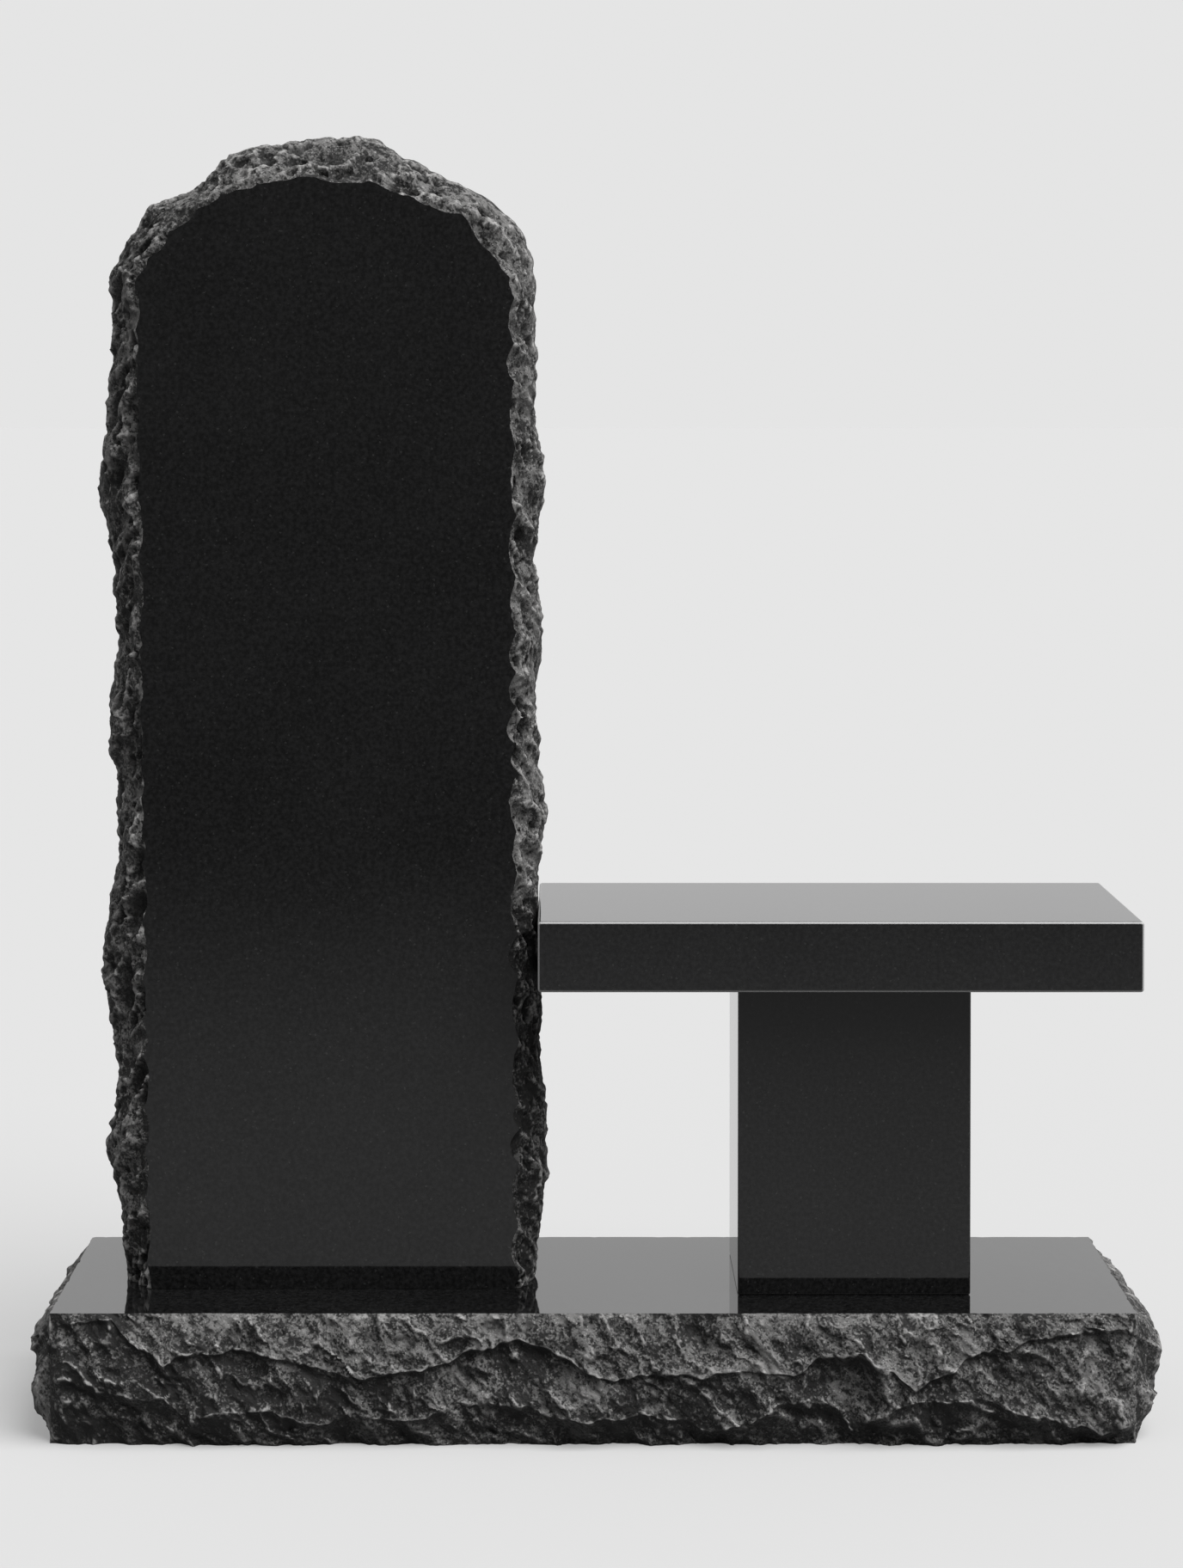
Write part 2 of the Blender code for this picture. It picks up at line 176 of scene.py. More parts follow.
SCALLOP_LENGTHS = (0.030, 0.080)  # shortest and longest
BACK_SHIFT = 0.31  # the back's scallops are moved on by this share of the thickness
FRINGE = (0.007, 0.0011)  # length and depth of the small chips along the polished face
CALM_RUN = 0.10  # share of the way to the widest outline in which the relief sets in
LIFT_OUT, LIFT_IN = 0.8, 0.6  # how far the relief goes outwards, and into the stone
CUSP_SHARE = 0.29  # how far the face runs out between two scallops, in shares of their depth
CROWN_CALM = 0.55  # how much of its relief the rock keeps at its widest outline
FLAKE_SLANT = 0.8  # the ridges between scallops run down as they run out
# Pits of the edge: length, width, share of places that have one, and depth
LEFT_PITS = ((0.060, 0.020, 0.60, 0.015), (0.016, 0.008, 0.40, 0.006))
ARCH_PITS = ((0.024, 0.014, 0.28, 0.012), (0.011, 0.008, 0.25, 0.006))
RIGHT_PITS = ((0.038, 0.011, 0.34, 0.013), (0.015, 0.007, 0.28, 0.006))
PIT_RADII = (0.18, 0.30)  # least radius of a pit, and how much more it may have
PIT_DARKEST = 0.009  # depth of a pit that counts as deep, for the painted shade in pits
PIT_TONE = (0.3, 2.2)  # share of it at which the painted shade in a pit sets in, and how fast it darkens
PIT_FADE = ((0.0, 1.0), (0.85, 1.0), (1.35, 0.12))  # the pits fade out behind the rim
PIT_TURNS = (-0.28, 0.0, 0.28)  # on the left side, the arch and the right side
RIM_BUMPS = ((0.011, 0.0030), (0.005, 0.0014))  # of the widest outline: length and height
CROWN_TRIM = 0.003  # how far the relief's middle lies under the widest outline
DRESSED_MARGIN = 0.022  # the edge is dressed flat this far above and below the seat

# Widest outline of the tablet's sides: share of the springing height, reach past the face
LEFT_CROWN = (
    (0.0, 0.030), (0.042, 0.032), (0.077, 0.039), (0.128, 0.052), (0.180, 0.041),
    (0.231, 0.042), (0.300, 0.056), (0.351, 0.050), (0.437, 0.036), (0.506, 0.041),
    (0.557, 0.050), (0.643, 0.033), (0.728, 0.043), (0.780, 0.054), (0.866, 0.043),
    (0.934, 0.033), (1.0, 0.038),
)
RIGHT_CROWN = (
    (0.0, 0.021), (0.060, 0.029), (0.103, 0.038), (0.171, 0.034), (0.231, 0.027),
    (0.265, 0.030), (0.370, 0.030), (0.403, 0.027), (0.463, 0.040), (0.506, 0.030),
    (0.583, 0.025), (0.651, 0.035), (0.720, 0.027), (0.797, 0.038), (0.866, 0.026),
    (0.900, 0.030), (0.934, 0.027), (1.0, 0.027),
)
# Arch of the polished face and of the widest outline, from left to right: share of half
# the face's width from its middle, share of the rise over the springing
FACE_ARCH = (
    (-1.03, 0.0), (-0.82, 0.49), (-0.66, 0.71), (-0.50, 0.865), (-0.15, 1.0),
    (0.27, 0.925), (0.54, 0.71), (0.73, 0.595), (0.845, 0.275), (0.985, 0.0),
)
CROWN_ARCH = (
    (-1.19, 0.12), (-1.05, 0.56), (-0.985, 0.75), (-0.784, 0.91), (-0.634, 1.08),
    (-0.554, 1.26), (-0.19, 1.39), (0.16, 1.44), (0.256, 1.43), (0.387, 1.24),
    (0.54, 1.08), (0.74, 0.91), (0.89, 0.73), (1.005, 0.56), (1.06, 0.34), (1.10, 0.12),
)
FACE_FOOT = (-0.976, 1.012)
# Painted light round the edge, from the left foot over the arch to the right foot: lighter on the
# right side, which faces the light, and a painted shadow of the seat on the rock below its end
TABLET_PAINTED_LIGHT_AND_SHADE = (
    (0.0, 0.12), (0.40, 0.12), (0.45, 0.16), (0.55, 0.16), (0.60, 0.74), (0.84, 0.74),
    (0.852, -1.3), (0.895, -1.1), (0.93, -0.5), (1.0, -0.1),
)

EDGE_ROWS = 5  # faces across a rounded edge of the seat or the pedestal
# Tones of the darkest and the lightest crystals, in shares of the polished colour
MIRROR_POLISH_SPAN = (0.30, 1.95)
# The seat's lightened span is painted light: a paler copy of the polished granite that makes the
# seat read brighter
LIGHTENED_POLISH_SPAN = (1.15, 2.70)

# Camera
CAMERA_PLACE = (-0.0345, -4.06, 1.1905)
CAMERA_PITCH = math.radians(1.05)
LENS = 77.87
SHIFT = (0.018, -0.2001)

# Light and floor
FLOOR_SIZE = 400.0
# In reflections the floor dims twice, each time by a share, between two distances in front
NEAR_DIM = (0.33, -0.1, 0.5)
FAR_DIM = (0.49, 0.5, 5.6)
FLOOR_BOUNCE_LOSS = 0.62  # share of its light that the floor keeps from the stones
FLOOR_GLOW = 0.35  # share of the floor's own brightness, which softens its shadows
# Brightness of the sky: as mirrored in front, more behind the bench and more again above
# it there, and as a fill at the horizon and more overhead
MIRROR_FRONT, MIRROR_BEHIND, MIRROR_ABOVE = 0.16, 0.627, 0.211
FILL_LOW, FILL_RISE = 0.45, 0.85


# Rock shapes
def lattice(cells, seed):
    """A steady random number from 0 to 1 for each whole-numbered cell."""
    mixed = cells[..., 0] * 374761393 + cells[..., 1] * 668265263 + seed * 974711
    mixed = (mixed ^ (mixed >> 13)) * 1274126177
    mixed = (mixed ^ (mixed >> 16)) & 0xFFFFFF
    return mixed / 0xFFFFFF


def waves(spots, size, seed):
    """Smooth noise from -1 to 1 at each (along, across) spot, with swells of that size."""
    scaled = spots / size
    cell = np.floor(scaled).astype(np.int64)
    part = scaled - cell
    part = part * part * (3 - 2 * part)
    total = np.zeros(len(spots))
    for step in ((0, 0), (1, 0), (0, 1), (1, 1)):
        weight = np.prod(np.where(step, part, 1 - part), axis=-1)
        total += weight * lattice(cell + step, seed)
    return total * 2 - 1


def near_middles(spots, size, seed, count):
    """For each cell round the spots: their way from its middle, and its random numbers."""
    scaled = spots / size
    cell = np.floor(scaled).astype(np.int64)
    for step in ((i, j) for i in (-1, 0, 1) for j in (-1, 0, 1)):
        near = cell + step
        draw = [lattice(near, seed + k) for k in range(2 + count)]
        yield scaled - near - np.stack(draw[:2], axis=-1), draw[2:]


def scars(spots, size, seed):
    """Height over the floor of the scar that each spot is in: sharp ridges part the scars."""
    lowest = np.full(len(spots), np.inf)
    for away, draw in near_middles(spots, size, seed, 3):
        slope = np.stack(draw[:2], axis=-1) - 0.5
        lift = SCAR_CURVE * (away**2).sum(-1) + SCAR_TILT * (away * slope).sum(-1)
        lowest = np.minimum(lowest, lift + SCAR_STEP * draw[2])
    return lowest


def pits(spots, size, seed, share):
    """0 on the open rock and up to 1 at the bottom of each pit."""
    deepest = np.zeros(len(spots))
    for away, draw in near_middles(spots, size, seed, 2):
        radius = PIT_RADII[0] + PIT_RADII[1] * draw[0]
        inside = np.clip(1 - np.sqrt((away**2).sum(-1)) / radius, 0, 1)
        pit = np.where(draw[1] < share, 1 - (1 - inside) ** 3, 0)
        deepest = np.maximum(deepest, pit)
    return deepest


def pit_depth(spots, layers, turn):
    """Depth of the pits at each spot, in metres."""
    way = turned(spots, turn)
    depths = [
        depth * pits(way, np.array([length, width]), 700 + 10 * number, share)
        for number, (length, width, share, depth) in enumerate(layers)
    ]
    return np.max(depths, axis=0)


def turned(spots, angle):
    along, across = spots[:, 0], spots[:, 1]
    cos, sin = math.cos(angle), math.sin(angle)
    return np.column_stack([along * cos + across * sin, across * cos - along * sin])


def rock_relief(spots, layers, turn, seed):
    """How far broken rock stands out at each spot, in metres, round a middle of about 0."""
    warp = [waves(spots, WARP_SIZE, seed + k) for k in (50, 51)]
    warp_fine = [waves(spots, WARP_SIZE / 3, seed + k) for k in (52, 53)]
    bent = spots + WARP_REACH * np.column_stack(warp)
    bent += WARP_REACH / 4 * np.column_stack(warp_fine)
    way = turned(bent, turn)
    relief = np.zeros(len(spots))
    for number, (length, width, height) in enumerate(layers):
        layer = scars(way, np.array([length, width]), seed + 10 * number)
        relief += height * (layer - layer.mean())
    for number, (size, height) in enumerate(GRAIN):
        relief += height * waves(way, size, seed + 60 + number)
    return relief


def random_joints(length, shortest, longest, seed):
    """Places along a length where one chisel flake ends and the next begins."""
    draw = random.Random(seed)
    joints = [-longest]
    while joints[-1] < length:
        joints.append(joints[-1] + draw.uniform(shortest, longest))
    return np.array(joints)


def hollow(place_along, joints):
    """1 in the middle of each flake and 0 at its two ends, where a sharp ridge stands."""
    index = np.clip(np.searchsorted(joints, place_along) - 1, 0, len(joints) - 2)
    start, end = joints[index], joints[index + 1]
    middle = (2 * place_along - start - end) / (end - start)
    return np.clip(1 - middle**2, 0, 1)


# Mesh work
def deselect_all():
    if bpy.context.object and bpy.context.object.mode != "OBJECT":
        bpy.ops.object.mode_set(mode="OBJECT")
    bpy.ops.object.select_all(action="DESELECT")


def select_only(thing, kind, test):
    """In edit mode, selects the faces or edges that pass the test, and nothing else."""
    bpy.ops.mesh.select_mode(type=kind)
    bpy.ops.mesh.select_all(action="DESELECT")
    bm = bmesh.from_edit_mesh(thing.data)
    for part in bm.edges if kind == "EDGE" else bm.faces:
        if test(part):
            part.select_set(True)
    bmesh.update_edit_mesh(thing.data)


def points_of(thing):
    places = np.empty(len(thing.data.vertices) * 3)
    thing.data.vertices.foreach_get("co", places)
    return places.reshape(-1, 3)


def move_points(thing, places):
    thing.data.vertices.foreach_set("co", np.ascontiguousarray(places, float).ravel())
    thing.data.update()


def runs_along(edge, axis):
    """True if the edge runs along that axis only."""
    step = edge.verts[1].co - edge.verts[0].co
    return abs(step[axis]) > 0.999 * step.length


def standing_out(places, edges, normals, rounds):
    """How far each point stands out from the surface when it is smoothed that many times."""
    count = len(places)
    one, two = edges[:, 0], edges[:, 1]
    degree = np.bincount(one, minlength=count) + np.bincount(two, minlength=count)
    smooth = places
    for _ in range(rounds):
        total = [
            np.bincount(one, smooth[two, k], count) + np.bincount(two, smooth[one, k], count)
            for k in range(3)
        ]
        smooth = np.stack(total, axis=-1) / degree[:, None]
    return ((places - smooth) * normals).sum(-1)


def store_wear_and_painted_light(thing, painted_light_and_shade, painted_pit_shade):
    """Writes where the rock is an arris, a hollow or turned down, and its painted light, for its
    material, which paints shade into the hollows and onto the rock that turns down.
    """
    mesh = thing.data
    places = points_of(thing)
    edges = np.empty(len(mesh.edges) * 2, int)
    mesh.edges.foreach_get("vertices", edges)
    edges = edges.reshape(-1, 2)
    normals = np.empty(len(mesh.vertices) * 3)
    mesh.vertex_normals.foreach_get("vector", normals)
    normals = normals.reshape(-1, 3)
    fine, broad = (standing_out(places, edges, normals, k) for k in SMOOTHINGS)
    on_ridge = np.clip(broad / RIDGE_HEIGHT - 0.25, 0, 1)
    wear_and_painted_light = {
        "arris": np.clip(fine / ARRIS_HEIGHT, 0, 1) * on_ridge,
        # Painted shade in hollows and pits
        "hollow": np.maximum(np.clip(-broad / HOLLOW_DEPTH, 0, 1), painted_pit_shade),
        # Painted shade on the rock that turns down
        "under": np.clip(-normals[:, 2] * 1.9 + 0.15, 0, 1),
        "painted_light_and_shade": painted_light_and_shade,
    }
    for name, values in wear_and_painted_light.items():
        layer = mesh.attributes.new(name, "FLOAT", "POINT")
        layer.data.foreach_set("value", values.astype(np.float32))


def close_flats(thing, flats):
    """Closes each open end of a rock wall with one flat face, as triangles, in its own slot."""
    bpy.ops.object.mode_set(mode="EDIT")
    for slot, test in flats:
        select_only(
            thing, "EDGE", lambda e: e.is_boundary and all(test(v.co) for v in e.verts)
        )
        bpy.ops.mesh.edge_face_add()
        bpy.ops.mesh.select_mode(type="FACE")
        thing.active_material_index = slot
        select_only(thing, "FACE", lambda f: len(f.verts) > 4)
        bpy.ops.object.material_slot_assign()
        bpy.ops.mesh.region_to_loop()
        bpy.ops.mesh.mark_sharp()
        select_only(thing, "FACE", lambda f: len(f.verts) > 4)
        bpy.ops.mesh.quads_convert_to_tris(ngon_method="BEAUTY")
    bpy.ops.mesh.select_all(action="SELECT")
    bpy.ops.mesh.normals_make_consistent(inside=False)
    bpy.ops.object.mode_set(mode="OBJECT")


def finish_piece(thing, node, smooth):
    thing.select_set(True)
    bpy.context.view_layer.objects.active = thing
    bpy.ops.object.shade_smooth_by_angle(angle=smooth, keep_sharp_edges=True)
    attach(thing, BODY)
    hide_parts(node)


# Base
def side_ridge(side, level, seed):
    """The upper (0) or lower (1) ridge line of a side other than the front, in shares."""
    draw = random.Random(seed)
    start, end = CORNER_LEVELS[side][level], CORNER_LEVELS[(side + 1) % 4][level]
    middle = SIDE_LEVELS[level]
    knots = [(i / SIDE_KNOTS, middle + draw.uniform(-1, 1) * SIDE_SWING)
             for i in range(1, SIDE_KNOTS)]
    return [(0.0, start), *knots, (1.0, end)]


def ridge_heights(along, length, height, upper, lower, seed):
    """Heights of the upper and the lower ridge at each place along a side."""
    share = along / length
    high = np.interp(share, *zip(*upper)) * height
    low = np.interp(share, *zip(*lower)) * height
    spots = np.column_stack([along, 0 * along])
    ends = np.clip(np.minimum(along, length - along) / CORNER_RUN, 0, 1)
    for number, (run, swing) in enumerate(RIDGE_WANDERS):
        high = high + swing * ends * waves(spots, run, seed + number)
        low = low + swing * ends * waves(spots, run, seed + 5 + number)
    high = np.clip(high, RIDGE_LIMITS[0] * height, RIDGE_LIMITS[1] * height)
    return high, np.minimum(low, high - RIDGE_GAP * height)


def rock_wall(along, place_up, length, height, bulge, reach, high, low, seed):
    """How far the rock stands out past the polished top, in metres.

    It slopes out from the top to the upper ridge, steps back, comes out again to the lower
    ridge and turns under to the ground."""
    top = np.clip((height - place_up) / (height - high), 0, 1)
    middle = np.clip((high - place_up) / (high - low), 0, 1)
    foot = np.clip((low - place_up) / np.maximum(low, 0.001), 0, 1)
    spots = np.column_stack([along, 0 * along])

    def swell(share, swing, run, number):
        return share + swing * waves(spots, run, seed + number)

    def step_back(ridge, step, number):
        depth, fall, swing, run = step
        depth = depth * (1 + swing * waves(spots, run, seed + number))
        return depth * (1 - np.exp(-(ridge - place_up) / fall))

    shallow = np.clip((height - high) / (SHALLOW_SPAN * height), SHALLOW_LEAST, 1)
    high_reach = reach[0] * bulge * shallow * swell(*UPPER_SWELL, 31)
    low_reach = reach[1] * bulge * swell(*LOWER_SWELL, 32)
    upper_zone = high_reach * top**0.85
    drop = step_back(high, UPPER_STEP, 34) * (1 - middle) ** 0.7
    middle_zone = high_reach + (low_reach - high_reach) * middle - drop
    drop = step_back(low, LOWER_STEP, 35) * (1 - foot)
    lower_zone = low_reach + (FOOT_SHARE * bulge - low_reach) * foot - drop
    out = np.where(place_up > high, upper_zone, middle_zone)
    out = np.where(place_up < low, lower_zone, out)
    shape = np.column_stack([along, place_up])
    relief = rock_relief(shape, BASE_SCARS, SCAR_TURN, seed)
    near_top = np.clip((height - place_up) / TOP_RUN, 0, 1) ** 0.6
    ends = np.minimum(along, length - along)
    crisp = np.clip(ends / CORNER_CRISP, 0, 1)
    out = out * (1 - np.exp(-ends / CORNER_RUN)) + relief * near_top * crisp
    chips = EDGE_CHIP * np.clip(waves(spots, EDGE_CHIP_SIZE, seed + 33), 0, 1) ** 2
    return np.where(place_up > height - 1e-6, -chips * crisp, np.maximum(out, -chips))


def wall_painted_light_and_shade(along, place_up, length, high, low, seed):
    """How much painted light the rock has at each place: lighter above 0 and darker below, in
    random patches.
    """
    middle = np.interp(along / length, *zip(*MIDDLE_PAINTED_LIGHT_AND_SHADE))
    painted_light_and_shade = np.where(place_up > high - 1e-6, UPPER_PAINTED_LIGHT, middle)
    painted_light_and_shade = np.where(place_up < low - 1e-6, FOOT_PAINTED_SHADE, painted_light_and_shade)
    spots = np.column_stack([along, place_up])
    return painted_light_and_shade + PAINTED_LIGHT_SWING * waves(turned(spots, SCAR_TURN), PAINTED_LIGHT_PATCHES, seed + 36)


def cut_wall_edges(base, test, cuts):
    """Cuts the wall's edges that pass the test into first times second equal parts."""
    for parts in cuts:
        if parts > 1:
            select_only(base, "EDGE", test)
            bpy.ops.mesh.subdivide(number_cuts=parts - 1)


def build_base(sizes):
    length, depth = sizes.top_length, sizes.top_depth
    height = BASE_HIGH.z - BASE_LOW.z
    bulge = (BASE_HIGH.x - BASE_LOW.x - length) / 2
    deselect_all()
    bpy.ops.mesh.primitive_cube_add(
        size=1, location=(0, 0, height / 2), scale=(length, depth, height)
    )
    base = bpy.context.object
    base.name = "rock_pitched_base_stone"
    bpy.ops.object.transform_apply(location=True, rotation=False, scale=True)
    bpy.ops.object.mode_set(mode="EDIT")
    select_only(base, "FACE", lambda f: abs(f.normal.z) > 0.5)
    bpy.ops.mesh.delete(type="ONLY_FACE")
    cut_wall_edges(
        base, lambda e: runs_along(e, 0) and e.verts[0].co.y < 0, FRONT_COLUMNS
    )
    cut_wall_edges(
        base, lambda e: runs_along(e, 0) and e.verts[0].co.y > 0, BACK_COLUMNS
    )
    cut_wall_edges(base, lambda e: runs_along(e, 1), END_COLUMNS)
    cut_wall_edges(base, lambda e: runs_along(e, 2), (sum(ZONE_ROWS),))
    bpy.ops.object.mode_set(mode="OBJECT")

    places = points_of(base)
    rows = sum(ZONE_ROWS)
    row = np.round(places[:, 2] / height * rows).astype(int)
    zone_ends = np.cumsum((0, *ZONE_ROWS))
    zone = np.clip(np.searchsorted(zone_ends, row, side="right") - 1, 0, 2)
    part = (row - zone_ends[zone]) / np.array(ZONE_ROWS)[zone]
    half = np.array([length, depth]) / 2
    sides = (  # across axis, its sign, and the way along the side
        (1, -1, (1, 0)), (0, 1, (0, 1)), (1, 1, (-1, 0)), (0, -1, (0, -1)),
    )
    ridges = [(FRONT_UPPER_RIDGE, FRONT_LOWER_RIDGE)]
    ridges += [(side_ridge(k, 0, 40 + k), side_ridge(k, 1, 50 + k)) for k in (1, 2, 3)]
    moved = places.copy()
    painted_light_and_shade = np.zeros(len(places))
    for side, (axis, sign, way) in enumerate(sides):
        mine = np.abs(places[:, axis] - sign * half[axis]) < 1e-5
        size = 2 * half[1 - axis]
        along = places[mine, :2] @ np.array(way) + size / 2
        seed = 200 + 20 * side
        high, low = ridge_heights(along, size, height, *ridges[side], seed)
        levels = np.stack([0 * low, low, high, 0 * low + height])
        column = np.arange(len(along))
        start, end = levels[zone[mine], column], levels[zone[mine] + 1, column]
        up = start + (end - start) * part[mine]
        out = rock_wall(along, up, size, height, bulge, SIDE_REACH[side], high, low, seed)
        past_knee = (out / bulge - KNEE) / (1 - KNEE)
        flattened = bulge * (KNEE + (1 - KNEE) * np.tanh(past_knee))
        out = np.where(past_knee > 0, flattened, out)
        # Painted light and shade of the rock: lighter on the upper slope that faces the light,
        # darker on the foot and at the front's left end
        painted_light_and_shade[mine] = wall_painted_light_and_shade(along, up, size, high, low, seed)
        if side == 0:
            painted_light_and_shade[mine] += np.interp(along / size, *zip(*FRONT_END_PAINTED_SHADE))
        moved[mine, axis] = places[mine, axis] + sign * out
        moved[mine, 2] = up
    at_corner = (np.abs(np.abs(places[:, :2]) - half) < 1e-5).all(-1)
    chip_spots = np.column_stack([moved[:, 2], places[:, 0] + places[:, 1]])
    chip = CORNER_CHIP * np.clip(waves(chip_spots, CORNER_CHIP_SIZE, 90), 0, 1)
    moved[at_corner, :2] -= np.sign(places[at_corner, :2]) * chip[at_corner, None]
    move_points(base, moved)
    store_wear_and_painted_light(base, painted_light_and_shade, 0.0)
    rock = rock_granite("base", -SCAR_TURN, contrast=1.12, crushing=0.65)
    for material in (rock, polished_granite(), sawn_granite()):
        base.data.materials.append(material)
    top = height - 1e-5
    close_flats(base, ((1, lambda co: co.z > top), (2, lambda co: co.z < 1e-5)))
    finish_piece(base, "rock_pitched_base", math.radians(38))


# Tablet
def path_length(corners):
    return np.linalg.norm(np.diff(np.array(corners), axis=0), axis=1).sum()


def even_points(corners, count):
    """That many points at even spacing along the straight runs between the corners."""
    corners = np.array(corners)
    runs = np.linalg.norm(np.diff(corners, axis=0), axis=1)
    along = np.concatenate([[0], np.cumsum(runs)])
    even = np.linspace(0, along[-1], count)
    return np.column_stack([np.interp(even, along, corners[:, k]) for k in (0, 1)])


def tablet_outlines(sizes):
    """The polished face's outline and the widest outline, point for point, without the foot.

    Both run up the left side, over the arch and down the right side, with z from the bed."""
    half = sizes.face_width / 2
    middle = -sizes.top_length / 2 + TABLET_MARGIN + half

    def from_shares(share, rise):
        return middle + share * half, FACE_SPRING + rise * FACE_RISE

    face_arch = [from_shares(*corner) for corner in FACE_ARCH]
    crown_arch = [from_shares(*corner) for corner in CROWN_ARCH]
    left_foot, right_foot = (middle + share * half for share in FACE_FOOT)
    face_left = [(left_foot, 0.0), face_arch[0]]
    face_right = [face_arch[-1], (right_foot, 0.0)]

    def side_crown(table, foot, spring, way):
        return [
            (foot + (spring[0] - foot) * share + way * reach, share * FACE_SPRING)
            for share, reach in table
        ]

    crown_left = side_crown(LEFT_CROWN, left_foot, face_arch[0], -1)
    crown_left.append(crown_arch[0])
    crown_right = side_crown(RIGHT_CROWN, right_foot, face_arch[-1], 1)
    crown_right.append(crown_arch[-1])
    stretches = (
        (face_left, crown_left), (face_arch, crown_arch), (face_right, crown_right[::-1])
    )
    face, crown = [], []
    for inner, outer in stretches:
        count = round(path_length(inner) / STATION) + 1
        first = 1 if face else 0
        face.extend(even_points(inner, count)[first:])
        crown.extend(even_points(outer, count)[first:])
    return np.array(face), np.array(crown)


def build_tablet(sizes):
    face, crown = tablet_outlines(sizes)
    thickness = TABLET_HIGH.y - TABLET_LOW.y
    bed = TABLET_LOW.z
    count = len(face)
    foot_count = round((face[-1, 0] - face[0, 0]) / FOOT_STATION)
    stations = count + foot_count
    depths = np.concatenate([
        np.linspace(0, CROWN_DEPTH, FRONT_ROWS + 1),
        np.linspace(CROWN_DEPTH, thickness - CROWN_DEPTH, MIDDLE_ROWS + 1)[1:],
        np.linspace(thickness - CROWN_DEPTH, thickness, BACK_ROWS + 1)[1:],
    ])
    girths = np.interp(
        depths,
        [0, CROWN_DEPTH, thickness - CROWN_DEPTH, thickness],
        [0, SLOPE_GIRTH, SLOPE_GIRTH + thickness - 2 * CROWN_DEPTH,
         2 * SLOPE_GIRTH + thickness - 2 * CROWN_DEPTH],
    )
    rings = len(depths)
    deselect_all()
    bpy.ops.mesh.primitive_cylinder_add(
        vertices=stations, radius=1, depth=2, end_fill_type="NOTHING"
    )
    tablet = bpy.context.object
    tablet.name = "upright_tablet_stone"
    bpy.ops.object.mode_set(mode="EDIT")
    select_only(tablet, "EDGE", lambda e: runs_along(e, 2))
    bpy.ops.mesh.subdivide(number_cuts=rings - 2)
    bpy.ops.object.mode_set(mode="OBJECT")
    drum = points_of(tablet)
    angle = np.arctan2(drum[:, 1], drum[:, 0])
    station = np.round((angle - angle[0]) / math.tau * stations).astype(int) % stations
    ring = np.round((drum[:, 2] + 1) / 2 * (rings - 1)).astype(int)

    runs = np.linalg.norm(np.diff(face, axis=0), axis=1)
    along = np.concatenate([[0], np.cumsum(runs)])
    outward = crown - face
    outward /= np.linalg.norm(outward, axis=1)[:, None]
    joints = random_joints(along[-1] + thickness, *SCALLOP_LENGTHS, seed=11)
    rock = station < count
    index = np.where(rock, station, 0)
    depth = depths[ring]

    def rock_edge(index, depth, ring):
        """Place in x and z, way into the stone and painted shade in the pits, of points on the
        rock.
        """
        way = along[index] / along[-1]
        spots = np.column_stack([along[index], girths[ring]])
        near = np.minimum(depth, thickness - depth)
        share = np.clip(near / CROWN_DEPTH, 0, 1)
        slant = FLAKE_SLANT * np.interp(way, *zip(*SIDE_LEAN)) * SLOPE_GIRTH * share
        back = np.where(depth > thickness / 2, thickness, 0)
        place_along = along[index] + slant + back * BACK_SHIFT
        which = np.searchsorted(joints, place_along)
        size = lattice(np.stack([which, which], axis=-1), 77)
        size = SCALLOP_LEAST + (1 - SCALLOP_LEAST) * size
        left, arch, right = SCALLOP_DEPTHS
        scallop = np.interp(way, ARCH_SPAN, [left, arch, arch, right])
        bite = scallop * size * hollow(place_along, joints)
        bite *= np.clip(1 - share / SCALLOP_RUN, 0, 1) ** 0.6
        on_left = np.interp(way, ARCH_SPAN[:2], [1, 0])
        relief = on_left * rock_relief(spots, LEFT_SCARS, -FLAKE_TURN, 500)
        relief += (1 - on_left) * rock_relief(spots, RIGHT_SCARS, FLAKE_TURN, 540)
        relief = relief * (1 - (1 - CROWN_CALM) * share**3) - CROWN_TRIM * share
        pit_kinds = zip((LEFT_PITS, ARCH_PITS, RIGHT_PITS), PIT_TURNS)
        pit = [pit_depth(spots, layers, turn) for layers, turn in pit_kinds]
        pit = np.select([way < ARCH_SPAN[1], way < ARCH_SPAN[2]], pit[:2], pit[2])
        pit = pit * np.interp(depth / CROWN_DEPTH, *zip(*PIT_FADE))
        rim_spots = np.column_stack([place_along, 0 * place_along])
        rim = share * sum(
            height * waves(rim_spots, size, 730 + number)
            for number, (size, height) in enumerate(RIM_BUMPS)
        )
        calm = np.clip(share / CALM_RUN, 0, 1)
        fringe = FRINGE[1] * waves(spots, FRINGE[0], 720) * (1 - calm)
        out = (crown[index] - face[index]) * (share**CROWN_SWELL)[:, None]
        lift = (relief - pit + rim) * calm
        reach = CUSP_SHARE * scallop * (1 - share) - bite + fringe + LIFT_OUT * lift
        flat = face[index] + out + outward[index] * reach[:, None]
        lean_in = np.where(depth < thickness / 2, -1, 1) * (1 - share) * calm
        # Painted shade in the pits: darker the deeper a pit is
        painted_pit_shade = np.clip((pit / PIT_DARKEST - PIT_TONE[0]) * PIT_TONE[1], 0, 1) * calm
        return flat, lean_in * LIFT_IN * lift, painted_pit_shade

